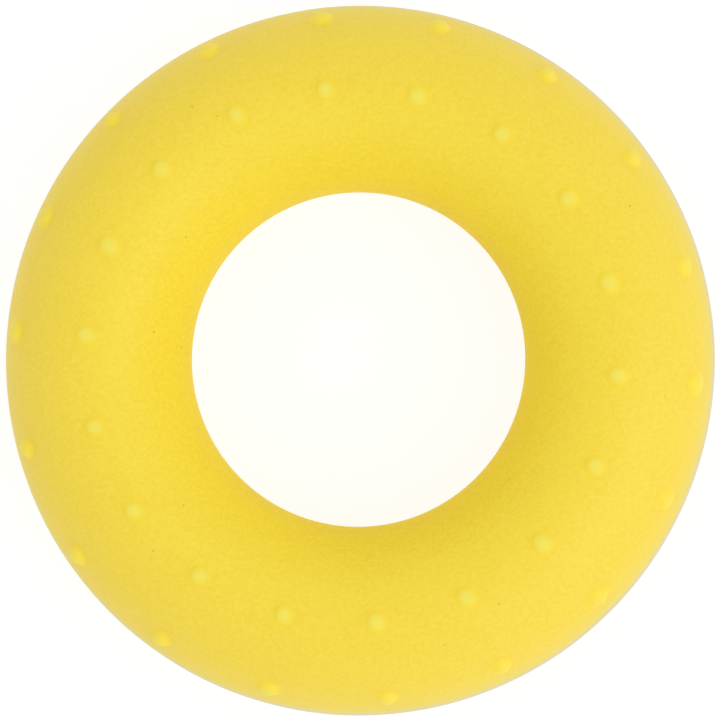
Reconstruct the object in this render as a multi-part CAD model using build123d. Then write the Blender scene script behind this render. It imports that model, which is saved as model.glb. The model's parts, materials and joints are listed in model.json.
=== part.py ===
"""Hand-grip exercise ring: a solid silicone ring of round section with four rings of massage nubs.

Millimetres. The ring lies flat: its axis is +Z and its centre is the origin. Columns of nubs stand every
20 degrees from +X. The mould parts on the plane z = 0, so the ring is the same above and below it.
"""

import os
from math import sqrt

from build123d import *

# Driving dimensions of the ring body.
RING_DIAMETER = 70.0
SECTION_DIAMETER = 18.45
INNER_LAND_HEIGHT = 1.5  # flat band round the hole, where the inner flash is trimmed
OUTER_LAND_HEIGHT = 0.4  # flat band under the outer parting ridge

# Massage nubs: a dome on a short root that sits in the body.
NUBS_PER_RING = 18
NUB_DIAMETER = 1.84
NUB_HEIGHT = 0.7
NUB_ROOT_DEPTH = 0.15
CREST_ANGLE = 90.0  # round the section, up from the outer edge
FLANK_ANGLE = 36.0

# Witness ridge of flash along the outer parting line.
RIDGE_HEIGHT = 0.20
RIDGE_TIP_WIDTH = 0.12

# Sizes that follow from them.
SECTION_RADIUS = SECTION_DIAMETER / 2
CENTRE_CIRCLE_RADIUS = RING_DIAMETER / 2 - SECTION_RADIUS
HOLE_RADIUS = CENTRE_CIRCLE_RADIUS - sqrt(SECTION_RADIUS**2 - (INNER_LAND_HEIGHT / 2) ** 2)
OUTER_LAND_RADIUS = CENTRE_CIRCLE_RADIUS + sqrt(SECTION_RADIUS**2 - (OUTER_LAND_HEIGHT / 2) ** 2)
COLUMN_PITCH = 360 / NUBS_PER_RING


def spun(outline):
    """The solid swept by an outline in the XZ plane turned once about the Z axis."""
    return revolve(make_face(outline), Axis.Z)


def nub():
    """One nub standing on the XY plane: a domed top over a round root below the plane."""
    radius = NUB_DIAMETER / 2
    dome_radius = (radius**2 + NUB_HEIGHT**2) / (2 * NUB_HEIGHT)
    shoulder = (dome_radius * sqrt(0.5), NUB_HEIGHT - dome_radius * (1 - sqrt(0.5)))
    tip = (0, 0, NUB_HEIGHT)
    rim = (radius, 0, 0)
    root = Polyline(tip, (0, 0, -NUB_ROOT_DEPTH), (radius, 0, -NUB_ROOT_DEPTH), rim)
    dome = ThreePointArc(rim, (shoulder[0], 0, shoulder[1]), tip)
    return spun([*root.edges(), dome])


def nub_ring(section_angle):
    """A ring of nubs, each square to the body's surface, at an angle up from its outer edge."""
    one = Pos(CENTRE_CIRCLE_RADIUS, 0, 0) * Rot(Y=90 - section_angle) * Pos(0, 0, SECTION_RADIUS) * nub()
    return [Rot(Z=column * COLUMN_PITCH) * one for column in range(NUBS_PER_RING)]


def ring_body(nubs):
    """The round section with its two narrow lands, turned once, with a seat sunk for each nub's root."""
    inner_top = (HOLE_RADIUS, 0, INNER_LAND_HEIGHT / 2)
    inner_bottom = (HOLE_RADIUS, 0, -INNER_LAND_HEIGHT / 2)
    outer_top = (OUTER_LAND_RADIUS, 0, OUTER_LAND_HEIGHT / 2)
    outer_bottom = (OUTER_LAND_RADIUS, 0, -OUTER_LAND_HEIGHT / 2)
    outline = [
        Line(inner_bottom, inner_top),
        ThreePointArc(inner_top, (CENTRE_CIRCLE_RADIUS, 0, SECTION_RADIUS), outer_top),
        Line(outer_top, outer_bottom),
        ThreePointArc(outer_bottom, (CENTRE_CIRCLE_RADIUS, 0, -SECTION_RADIUS), inner_bottom),
    ]
    # The start of the turn lies between two columns, so that no seat crosses it.
    whole = Rot(Z=COLUMN_PITCH / 2) * spun(outline)
    return whole - nubs


def outer_parting_ridge():
    """The flash ridge: a low tapered rib standing on the outer land."""
    tip_radius = OUTER_LAND_RADIUS + RIDGE_HEIGHT
    outline = Polyline(
        (OUTER_LAND_RADIUS, 0, -OUTER_LAND_HEIGHT / 2),
        (tip_radius, 0, -RIDGE_TIP_WIDTH / 2),
        (tip_radius, 0, RIDGE_TIP_WIDTH / 2),
        (OUTER_LAND_RADIUS, 0, OUTER_LAND_HEIGHT / 2),
        close=True,
    )
    return Rot(Z=COLUMN_PITCH / 2) * spun(outline.edges())


rings = {
    "top_crest_nubs": nub_ring(CREST_ANGLE),
    "upper_flank_nubs": nub_ring(FLANK_ANGLE),
    "lower_flank_nubs": nub_ring(-FLANK_ANGLE),
    "bottom_crest_nubs": nub_ring(-CREST_ANGLE),
}
nodes = {name: Compound(children=nubs) for name, nubs in rings.items()}
nodes["ring_body"] = ring_body([one for nubs in rings.values() for one in nubs])
nodes["outer_parting_line"] = outer_parting_ridge()

os.makedirs("parts", exist_ok=True)
for name, shape in nodes.items():
    export_step(shape, f"parts/{name}.step")
print(f"hole radius {HOLE_RADIUS:.4f}, outer land radius {OUTER_LAND_RADIUS:.4f}")
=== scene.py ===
"""A yellow silicone hand-grip ring lying flat on a white table, seen almost straight down its axis.

Metres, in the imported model's frame: the ring's axis is +Z, its centre is the origin and a column of
massage nubs stands on +X.
"""

import json
import math
import random

import bmesh
import bpy
from mathutils import Matrix, Vector


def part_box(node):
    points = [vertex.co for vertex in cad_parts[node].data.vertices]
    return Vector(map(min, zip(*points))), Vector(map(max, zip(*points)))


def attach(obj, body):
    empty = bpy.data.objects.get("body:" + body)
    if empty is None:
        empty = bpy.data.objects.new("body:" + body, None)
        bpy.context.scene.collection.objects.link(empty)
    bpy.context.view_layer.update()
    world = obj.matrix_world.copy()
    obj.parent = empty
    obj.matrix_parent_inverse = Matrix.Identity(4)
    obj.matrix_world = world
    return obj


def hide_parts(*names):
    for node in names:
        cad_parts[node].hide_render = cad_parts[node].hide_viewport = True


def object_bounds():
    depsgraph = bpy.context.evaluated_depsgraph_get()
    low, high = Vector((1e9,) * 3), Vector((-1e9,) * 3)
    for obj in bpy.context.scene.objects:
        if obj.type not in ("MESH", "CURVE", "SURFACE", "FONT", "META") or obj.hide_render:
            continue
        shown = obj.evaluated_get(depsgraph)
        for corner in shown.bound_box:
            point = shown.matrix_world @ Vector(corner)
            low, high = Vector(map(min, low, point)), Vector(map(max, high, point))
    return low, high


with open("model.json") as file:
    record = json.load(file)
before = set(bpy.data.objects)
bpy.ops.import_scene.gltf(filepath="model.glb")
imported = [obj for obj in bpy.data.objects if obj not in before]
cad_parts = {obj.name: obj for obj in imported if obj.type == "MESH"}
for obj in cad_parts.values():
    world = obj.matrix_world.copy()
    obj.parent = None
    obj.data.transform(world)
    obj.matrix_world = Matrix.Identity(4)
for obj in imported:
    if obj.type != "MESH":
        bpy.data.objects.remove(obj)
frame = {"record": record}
cad_low, cad_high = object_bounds()

# --------------------------------------------------------------------------------------------------
# Ring body. One solid moulding of soft yellow silicone, round in section, pressed in a mould of two
# halves. Its skin is the mould's fine blasted finish, and the hole's narrowest line is a trimmed
# flat land.
# --------------------------------------------------------------------------------------------------
MM = 0.001
body_low, body_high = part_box("ring_body")
OUTER_RADIUS = body_high.x
SECTION_RADIUS = (body_high.z - body_low.z) / 2
CENTRE_CIRCLE_RADIUS = OUTER_RADIUS - SECTION_RADIUS
HOLE_RADIUS = frame["record"]["mounts"][0]["dims"]["r_mm"] * MM
SECTION_SEGMENTS = 128
RING_SEGMENTS = 240

# Painted light and reflection: the body's yellow is richer and brighter in the hole and whiter
# outside.
HOLE_YELLOW = (0.905, 0.712, 0.034)
OUTER_YELLOW = (0.860, 0.654, 0.068)
CLOUD_YELLOW = (0.800, 0.575, 0.018)
CLOUD_SIZE = 7 * MM
CLOUD_SHARE = 0.06
SPECKLE_SIZE = 0.36 * MM
SPECKLE_SHARE = 0.50

# Painted shade and sheen on the sides near the parting plane: a duller, greyer yellow.
PAINTED_SIDE_SHADE = (0.66, 0.58, 0.10)
SIDE_SHADE_FADE = (1.5 * MM, 4.8 * MM)  # heights between which the painted side shade thins to nothing
SIDE_SHADE_IN_HOLE = 0.05
SIDE_SHADE_OUTSIDE = 0.27

DUST_BROWN = (0.28, 0.20, 0.05)
DUST_PITCH = 2.4 * MM
DUST_EDGE = (0.025, 0.06)  # of the pitch
DUST_CHANCE = (0.55, 0.57)
DUST_SHARE = 0.45

GRAIN_SIZE = 0.14 * MM
GRAIN_DEPTH = 0.007 * MM
WAVE_SIZE = 2.4 * MM
WAVE_DEPTH = 0.012 * MM
HOLE_ROUGHNESS = 0.86
OUTER_SMOOTHNESS = 0.38
GRAIN_ROUGHNESS = 0.12
SILICONE_IOR = 1.41
SHEEN_WEIGHT = 0.08
SHEEN_ROUGHNESS = 0.45


class Wire:
    """A shader socket that Python's arithmetic works on. Each operation adds a Math node."""

    def __init__(self, tree, socket):
        self.tree = tree
        self.socket = socket

    def math(self, operation, *others):
        node = add_node(self.tree, "ShaderNodeMath", {"operation": operation})
        for place, value in enumerate((self, *others)):
            feed(self.tree, node.inputs[place], value)
        return Wire(self.tree, node.outputs[0])

    def __add__(self, other):
        return self.math("ADD", other)

    def __radd__(self, other):
        return self.math("ADD", other)

    def __sub__(self, other):
        return self.math("SUBTRACT", other)

    def __rsub__(self, other):
        return (self * -1).math("ADD", other)

    def __mul__(self, other):
        return self.math("MULTIPLY", other)

    def __rmul__(self, other):
        return self.math("MULTIPLY", other)

    def __truediv__(self, other):
        return self.math("DIVIDE", other)

    def step(self, low, high):
        """0 below low, 1 above high, and a smooth rise between them."""
        settings = {"interpolation_type": "SMOOTHSTEP"}
        sockets = {"Value": self, "From Min": low, "From Max": high}
        node = add_node(self.tree, "ShaderNodeMapRange", settings, sockets)
        return Wire(self.tree, node.outputs[0])


def feed(tree, socket, value):
    """Links a Wire to a socket, or sets the socket's own value."""
    if isinstance(value, Wire):
        tree.links.new(value.socket, socket)
    else:
        socket.default_value = value


def add_node(tree, kind, settings=None, sockets=None):
    """Any shader node: its settings first, then the values or links of its sockets."""
    node = tree.nodes.new(kind)
    for name, value in (settings or {}).items():
        setattr(node, name, value)
    for name, value in (sockets or {}).items():
        feed(tree, node.inputs[name], value)
    return node


def mix_colour(tree, share, first, second):
    """A colour that goes from first to second as share goes from 0 to 1."""
    node = add_node(tree, "ShaderNodeMix", {"data_type": "RGBA"})
    feed(tree, node.inputs[0], share)
    for socket, colour in ((node.inputs[6], first), (node.inputs[7], second)):
        feed(tree, socket, (*colour, 1) if isinstance(colour, tuple) else colour)
    return Wire(tree, node.outputs[2])


def noise(tree, place, size, detail):
    """Smooth random values near 0.5 whose blobs are about size across."""
    sockets = {"Vector": place, "Scale": 1 / size, "Detail": detail}
    return Wire(tree, add_node(tree, "ShaderNodeTexNoise", None, sockets).outputs[0])


def silicone(name, tint=None):
    """Matte yellow silicone. tint, if given, adds a piece's painted light and shade to the plain
    colour.
    """
    material = bpy.data.materials.new(name)
    material.use_nodes = True
    tree = material.node_tree
    skin = tree.nodes["Principled BSDF"]
    place = Wire(tree, add_node(tree, "ShaderNodeTexCoord").outputs["Object"])

    # The yellow is painted richer and brighter in the hole and paler and whiter outside: painted
    # light and reflection, standing in for how the hole and the outside are lit. The pigment isn't
    # stirred
    # perfectly even: it has broad soft clouds with a fine speckle over them.
    apart = add_node(tree, "ShaderNodeSeparateXYZ", None, {"Vector": place})
    across, along, height = (Wire(tree, socket) for socket in apart.outputs)
    from_axis = (across * across + along * along).math("SQRT")
    out_from_hole = (from_axis - HOLE_RADIUS) / (OUTER_RADIUS - HOLE_RADIUS)
    clouds = noise(tree, place, CLOUD_SIZE, 3.0).step(0.35, 0.65)
    speckle = noise(tree, place, SPECKLE_SIZE, 3.0).step(0.25, 0.75)
    uneven = clouds * CLOUD_SHARE + speckle * SPECKLE_SHARE
    colour = mix_colour(tree, out_from_hole, HOLE_YELLOW, OUTER_YELLOW)
    colour = mix_colour(tree, uneven, colour, CLOUD_YELLOW)

    # Painted shade and sheen: the sides, above and below the parting plane, are painted a duller,
    # greyer yellow for the shade and grazing reflections there, strongest outside.
    outside = out_from_hole.step(0.0, 0.30)
    on_side = 1 - height.math("ABSOLUTE").step(*SIDE_SHADE_FADE)
    side_shade = on_side * (SIDE_SHADE_IN_HOLE + outside * SIDE_SHADE_OUTSIDE)
    colour = mix_colour(tree, side_shade * (0.85 + clouds * 0.30), colour, PAINTED_SIDE_SHADE)
    if tint:
        colour = tint(tree, colour)

    # Silicone draws dust: small dark specks, each where a cell's random number is high.
    sockets = {"Vector": place, "Scale": 1 / DUST_PITCH}
    cells = add_node(tree, "ShaderNodeTexVoronoi", None, sockets)
    cell_colour = Wire(tree, cells.outputs["Color"])
    draw = add_node(tree, "ShaderNodeSeparateColor", None, {"Color": cell_colour})
    near = 1 - Wire(tree, cells.outputs["Distance"]).step(*DUST_EDGE)
    speck = near * Wire(tree, draw.outputs[0]).step(*DUST_CHANCE) * DUST_SHARE
    feed(tree, skin.inputs["Base Color"], mix_colour(tree, speck, colour, DUST_BROWN))

    # The blasted mould leaves a fine grain over slow waves. The skin is dullest in the hole and a
    # little smoother outside.
    grain = noise(tree, place, GRAIN_SIZE, 2.0)
    waves = noise(tree, place, WAVE_SIZE, 1.0)
    sockets = {"Strength": 1.0, "Distance": 1.0, "Height": grain * GRAIN_DEPTH + waves * WAVE_DEPTH}
    bump = add_node(tree, "ShaderNodeBump", None, sockets)
    feed(tree, skin.inputs["Normal"], Wire(tree, bump.outputs[0]))
    roughness = HOLE_ROUGHNESS - outside * OUTER_SMOOTHNESS + grain * GRAIN_ROUGHNESS
    feed(tree, skin.inputs["Roughness"], roughness)
    skin.inputs["IOR"].default_value = SILICONE_IOR
    skin.inputs["Sheen Weight"].default_value = SHEEN_WEIGHT
    skin.inputs["Sheen Roughness"].default_value = SHEEN_ROUGHNESS
    return material


def finished(name, bm, material, node):
    """Makes a bmesh a smooth piece that rides with the ring and stands for a CAD node."""
    mesh = bpy.data.meshes.new(name)
    bm.to_mesh(mesh)
    bm.free()
    mesh.polygons.foreach_set("use_smooth", [True] * len(mesh.polygons))
    mesh.materials.append(material)
    piece = bpy.data.objects.new(name, mesh)
    bpy.context.scene.collection.objects.link(piece)
    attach(piece, "root")
    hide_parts(node)
    return piece


def turned(bm, outline, steps):
    """Spins the outline's edges once about the Z axis into a closed skin that faces outwards."""
    bmesh.ops.spin(bm, geom=outline, cent=(0, 0, 0), axis=(0, 0, 1), angle=math.tau, steps=steps,
                   use_merge=True)
    bmesh.ops.remove_doubles(bm, verts=bm.verts, dist=1e-7)
    bmesh.ops.recalc_face_normals(bm, faces=bm.faces)


body = bmesh.new()
section = bmesh.ops.create_circle(body, radius=SECTION_RADIUS, segments=SECTION_SEGMENTS)["verts"]
upright = Matrix.Translation((CENTRE_CIRCLE_RADIUS, 0, 0)) @ Matrix.Rotation(math.pi / 2, 4, "X")
bmesh.ops.transform(body, matrix=upright, verts=section)
for point in section:
    # The trimmed land round the hole.
    point.co.x = max(point.co.x, HOLE_RADIUS)
turned(body, body.verts[:] + body.edges[:], RING_SEGMENTS)
finished("ring_body_skin", body, silicone("yellow_silicone"), "ring_body")

# --------------------------------------------------------------------------------------------------
# Massage nubs. Low domes of the same silicone, moulded with the ring, in four rings of eighteen: on
# both crests and both flanks, in the same columns. Each flares softly into the body at its root.
# --------------------------------------------------------------------------------------------------
NUBS_PER_RING = 18
NUB_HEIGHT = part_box("top_crest_nubs")[1].z - body_high.z
DOME_RADIUS = 1.05 * MM
FLARE_RADIUS = 0.75 * MM
NUB_SEAT = 0.06 * MM
SEAT_SPREAD = 1.02
NUB_SEGMENTS = 32
DOME_STEPS = 7
FLARE_STEPS = 6
UNEVEN_WIDTH = 0.08

# Painted light on the nubs: the lemon top and lighter flanks stand in for light through the silicone
# and for the light the dome's slopes lose.
NUB_LEMON = (0.849, 0.727, 0.083)
NUB_PAINTED_LIGHT = (0.925, 0.730, 0.052)
# Painted shade: the deeper gold round each nub's root stands in for the shade in the crease there.
ROOT_PAINTED_SHADE = (0.925, 0.680, 0.012)
# Distances from a nub's axis between which each tint fades, and how strong it is.
LEMON_FADE = (0.18 * MM, 0.94 * MM)
DOME_FADE = (0.75 * MM, 1.28 * MM)
ROOT_START = (0.65 * MM, 0.95 * MM)
ROOT_FADE = (1.22 * MM, 1.43 * MM)
ROOT_SHARE = 0.27
CREST_TINT = 1.0
FLANK_TINT = 0.68

# How far light soaks through a nub, from 0 for not at all, and the height where its shade sets in.
CREST_LIT_THROUGH = 0.72
FLANK_LIT_THROUGH = 0.28
SHADE_HEIGHT = 0.03 * MM

# The dome and the flare at its root are arcs that meet at this slope.
meeting_slope = math.acos(1 - NUB_HEIGHT / (DOME_RADIUS + FLARE_RADIUS))
nub_reach = (DOME_RADIUS + FLARE_RADIUS) * math.sin(meeting_slope)


def nub_outline():
    """Radius and height down one nub: its dome, the flare at its root, and its seat in the body."""
    points = []
    for step in range(DOME_STEPS + 1):
        slope = meeting_slope * step / DOME_STEPS
        drop = DOME_RADIUS * (1 - math.cos(slope))
        points.append((DOME_RADIUS * math.sin(slope), NUB_HEIGHT - drop))
    for step in range(1, FLARE_STEPS + 1):
        slope = meeting_slope * (1 - step / FLARE_STEPS)
        rise = FLARE_RADIUS * (1 - math.cos(slope))
        points.append((nub_reach - FLARE_RADIUS * math.sin(slope), rise))
    return points + [(nub_reach * SEAT_SPREAD, -NUB_SEAT), (0.0, -NUB_SEAT)]


def one_nub():
    """A nub on a flat floor, as a mesh."""
    bm = bmesh.new()
    points = [bm.verts.new((radius, 0, height)) for radius, height in nub_outline()]
    edges = [bm.edges.new(pair) for pair in zip(points, points[1:])]
    turned(bm, points + edges, NUB_SEGMENTS)
    mesh = bpy.data.meshes.new("nub")
    bm.to_mesh(mesh)
    bm.free()
    return mesh


def onto_ring(point, column_angle, section_angle):
    """Where a point of the flat nub lies once it is on the ring, and the skin's normal there."""
    reach = CENTRE_CIRCLE_RADIUS + SECTION_RADIUS * math.cos(section_angle)
    round_ring = column_angle + point.x / reach
    round_section = section_angle + point.y / SECTION_RADIUS
    out = Vector((math.cos(round_ring), math.sin(round_ring), 0))
    normal = out * math.cos(round_section) + Vector((0, 0, math.sin(round_section)))
    return out * CENTRE_CIRCLE_RADIUS + normal * (SECTION_RADIUS + point.z), normal


def nub_tint(strength):
    """A tint for silicone(): painted light on the dome, lemon at its top, and painted shade in gold
    round its root.
    """
    def tint(tree, colour):
        stored = add_node(tree, "ShaderNodeAttribute", {"attribute_name": "from_axis"})
        spread = Wire(tree, stored.outputs["Fac"])
        # Painted light: the dome is painted lemon at its top and lighter than the skin on its flanks.
        dome = mix_colour(tree, spread.step(*LEMON_FADE), NUB_LEMON, NUB_PAINTED_LIGHT)
        colour = mix_colour(tree, (1 - spread.step(*DOME_FADE)) * strength, colour, dome)
        # Painted shade in gold round the root.
        root = spread.step(*ROOT_START) * (1 - spread.step(*ROOT_FADE))
        return mix_colour(tree, root * ROOT_SHARE, colour, ROOT_PAINTED_SHADE)
    return tint


crest = (silicone("crest_nub_silicone", nub_tint(CREST_TINT)), CREST_LIT_THROUGH)
flank = (silicone("flank_nub_silicone", nub_tint(FLANK_TINT)), FLANK_LIT_THROUGH)
# Degrees up from the outer edge, material, and how far light soaks through.
NUB_RINGS = {
    "top_crest_nubs": (90.0, *crest),
    "upper_flank_nubs": (36.0, *flank),
    "lower_flank_nubs": (-36.0, *flank),
    "bottom_crest_nubs": (-90.0, *crest),
}
cutter = random.Random(11)  # the mould's dimples were cut one by one, so no two are quite alike
flat_nub = one_nub()
for node, (section_angle, material, lit_through) in NUB_RINGS.items():
    ring = bmesh.new()
    from_axis = ring.verts.layers.float.new("from_axis")
    skin_normals = []
    for column in range(NUBS_PER_RING):
        already = len(ring.verts)
        ring.from_mesh(flat_nub)
        ring.verts.ensure_lookup_table()
        along = 1 + cutter.uniform(-UNEVEN_WIDTH, UNEVEN_WIDTH)
        around = 1 + cutter.uniform(-UNEVEN_WIDTH, UNEVEN_WIDTH)
        column_angle = math.tau * column / NUBS_PER_RING
        for point in ring.verts[already:]:
            point[from_axis] = math.hypot(point.co.x, point.co.y)
            point.co.x *= along
            point.co.y *= around
            height = point.co.z
            point.co, skin = onto_ring(point.co, column_angle, math.radians(section_angle))
            skin_normals.append((skin, height))
    piece = finished(node + "_domes", ring, material, node)
    # Light soaks through a nub this small, so it shades more like the skin round it.
    soft = []
    for point, (skin, height) in zip(piece.data.vertices, skin_normals):
        own = (1 - lit_through) * min(max(height / SHADE_HEIGHT, 0), 1)
        soft.append(skin.lerp(point.normal, own).normalized())
    piece.data.normals_split_custom_set_from_vertices(soft)

# --------------------------------------------------------------------------------------------------
# Outer parting line. A thin ridge of flash where the mould halves met, trimmed by hand, so its
# height wanders a little. It is thin enough to look pale.
# --------------------------------------------------------------------------------------------------
ridge_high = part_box("outer_parting_line")[1]
RIDGE_HEIGHT = ridge_high.x - OUTER_RADIUS
RIDGE_HALF_WIDTH = ridge_high.z
# Down one side of its section: how far it stands out and aside, as shares of the sizes above.
RIDGE_SIDE = [(-0.15, 1.0), (0.2, 0.62), (0.6, 0.40), (0.92, 0.26)]
RIDGE_TIP = [(1.0, 0.0)]
# The share of the height that the trimming left, its swing from side to side, and its wobbles as
# waves round the ring, size and start.
FLASH_LEFT = 0.70
TRIM_SWING = 0.26
TRIM_SWING_START = 0.45
TRIM_WOBBLES = ((7, 0.03, 1.1), (19, 0.02, 0.0))

FLASH_CREAM = (0.68, 0.64, 0.54)
FLASH_WEAR_SIZE = 1.8 * MM
FLASH_WEAR_SHARE = 0.3
FLASH_ROUGHNESS = 0.8


def flash(name):
    """The same silicone where it is thin as paper: pale, with its own yellow showing in patches."""
    material = bpy.data.materials.new(name)
    material.use_nodes = True
    tree = material.node_tree
    skin = tree.nodes["Principled BSDF"]
    place = Wire(tree, add_node(tree, "ShaderNodeTexCoord").outputs["Object"])
    worn = noise(tree, place, FLASH_WEAR_SIZE, 2.0).step(0.35, 0.7)
    colour = mix_colour(tree, worn * FLASH_WEAR_SHARE, FLASH_CREAM, OUTER_YELLOW)
    feed(tree, skin.inputs["Base Color"], colour)
    skin.inputs["Roughness"].default_value = FLASH_ROUGHNESS
    skin.inputs["IOR"].default_value = SILICONE_IOR
    return material


ridge = bmesh.new()
outline = RIDGE_SIDE + RIDGE_TIP + [(proud, -aside) for proud, aside in reversed(RIDGE_SIDE)]
points = [ridge.verts.new((OUTER_RADIUS + proud * RIDGE_HEIGHT, 0, aside * RIDGE_HALF_WIDTH))
          for proud, aside in outline]
edges = [ridge.edges.new(pair) for pair in zip(points, points[1:] + points[:1])]
turned(ridge, points + edges, RING_SEGMENTS)
for point in ridge.verts:
    # It was trimmed by hand: closest on one side, with a slow wobble.
    angle = math.atan2(point.co.y, point.co.x)
    left = FLASH_LEFT + TRIM_SWING * math.cos(angle + TRIM_SWING_START)
    left += sum(size * math.sin(waves * angle + start) for waves, size, start in TRIM_WOBBLES)
    radius = math.hypot(point.co.x, point.co.y)
    proud = radius - OUTER_RADIUS
    point.co.xy *= (OUTER_RADIUS + proud * left) / radius
finished("outer_parting_ridge", ridge, flash("pale_flash"), "outer_parting_line")

# --------------------------------------------------------------------------------------------------
# Table: a white sheet lit from below and above, so that it stays white round the ring and in its
# hole.
# --------------------------------------------------------------------------------------------------
TABLE_WIDTH = 6.0
TABLE_GLOW = 0.82
TABLE_GREY = 0.20
TABLE_ROUGHNESS = 0.8


def white_table():
    """A plain white sheet that also glows a little."""
    material = bpy.data.materials.new("white_table")
    material.use_nodes = True
    skin = material.node_tree.nodes["Principled BSDF"]
    skin.inputs["Base Color"].default_value = (TABLE_GREY, TABLE_GREY, TABLE_GREY, 1)
    skin.inputs["Roughness"].default_value = TABLE_ROUGHNESS
    skin.inputs["Emission Color"].default_value = (1, 1, 1, 1)
    skin.inputs["Emission Strength"].default_value = TABLE_GLOW
    return material


top = bmesh.new()
bmesh.ops.create_grid(top, x_segments=1, y_segments=1, size=TABLE_WIDTH / 2,
                      matrix=Matrix.Translation((0, 0, cad_low.z)))
table_mesh = bpy.data.meshes.new("table")
top.to_mesh(table_mesh)
top.free()
table_mesh.materials.append(white_table())
table = bpy.data.objects.new("table", table_mesh)
bpy.context.scene.collection.objects.link(table)

# --------------------------------------------------------------------------------------------------
# Light: a white room, and one soft box at the camera's lower right.
# --------------------------------------------------------------------------------------------------
CAMERA_ROLL = math.radians(4.5)
ROOM_LIGHT = 0.873
KEY_SIZE = 0.45
KEY_DISTANCE = 0.70
KEY_AZIMUTH = CAMERA_ROLL + math.radians(-27)
KEY_HEIGHT = math.radians(50)
KEY_POWER = 1.25

room = bpy.data.worlds.new("white_room")
room.use_nodes = True
walls = room.node_tree.nodes["Background"]
walls.inputs["Color"].default_value = (1, 1, 1, 1)
walls.inputs["Strength"].default_value = ROOM_LIGHT
bpy.context.scene.world = room

key = bpy.data.objects.new("key_box", bpy.data.lights.new("key_box", "AREA"))
key.data.shape = "DISK"
key.data.size = KEY_SIZE
key.data.energy = KEY_POWER
towards_key = Vector((math.cos(KEY_AZIMUTH) * math.cos(KEY_HEIGHT),
                      math.sin(KEY_AZIMUTH) * math.cos(KEY_HEIGHT),
                      math.sin(KEY_HEIGHT)))
key.location = towards_key * KEY_DISTANCE
key.rotation_euler = towards_key.to_track_quat("Z", "Y").to_euler()
bpy.context.scene.collection.objects.link(key)

# --------------------------------------------------------------------------------------------------
# Camera: above the ring, leaning a little to its lower right, and turned a few degrees.
# --------------------------------------------------------------------------------------------------
CAMERA_DISTANCE = 0.350
CAMERA_LEAN_RIGHT = math.radians(4.05)
CAMERA_LEAN_DOWN = math.radians(2.19)
LENS = 177.4
SENSOR = 36.0
AIM_RIGHT = 0.14 * MM

right = Vector((math.cos(CAMERA_ROLL), math.sin(CAMERA_ROLL), 0))
up = Vector((-math.sin(CAMERA_ROLL), math.cos(CAMERA_ROLL), 0))
lean = right * math.sin(CAMERA_LEAN_RIGHT) - up * math.sin(CAMERA_LEAN_DOWN)
towards_camera = lean + Vector((0, 0, math.sqrt(1 - lean.length_squared)))
across = up.cross(towards_camera).normalized()
upwards = towards_camera.cross(across)
facing = Matrix((across, upwards, towards_camera)).transposed().to_4x4()
standpoint = right * AIM_RIGHT + towards_camera * CAMERA_DISTANCE
camera = bpy.data.objects.new("camera", bpy.data.cameras.new("camera"))
camera.data.lens = LENS
camera.data.sensor_width = SENSOR
camera.matrix_world = Matrix.Translation(standpoint) @ facing
bpy.context.scene.collection.objects.link(camera)
bpy.context.scene.camera = camera

bpy.context.scene.view_settings.view_transform = "Standard"
bpy.context.scene.view_settings.look = "None"
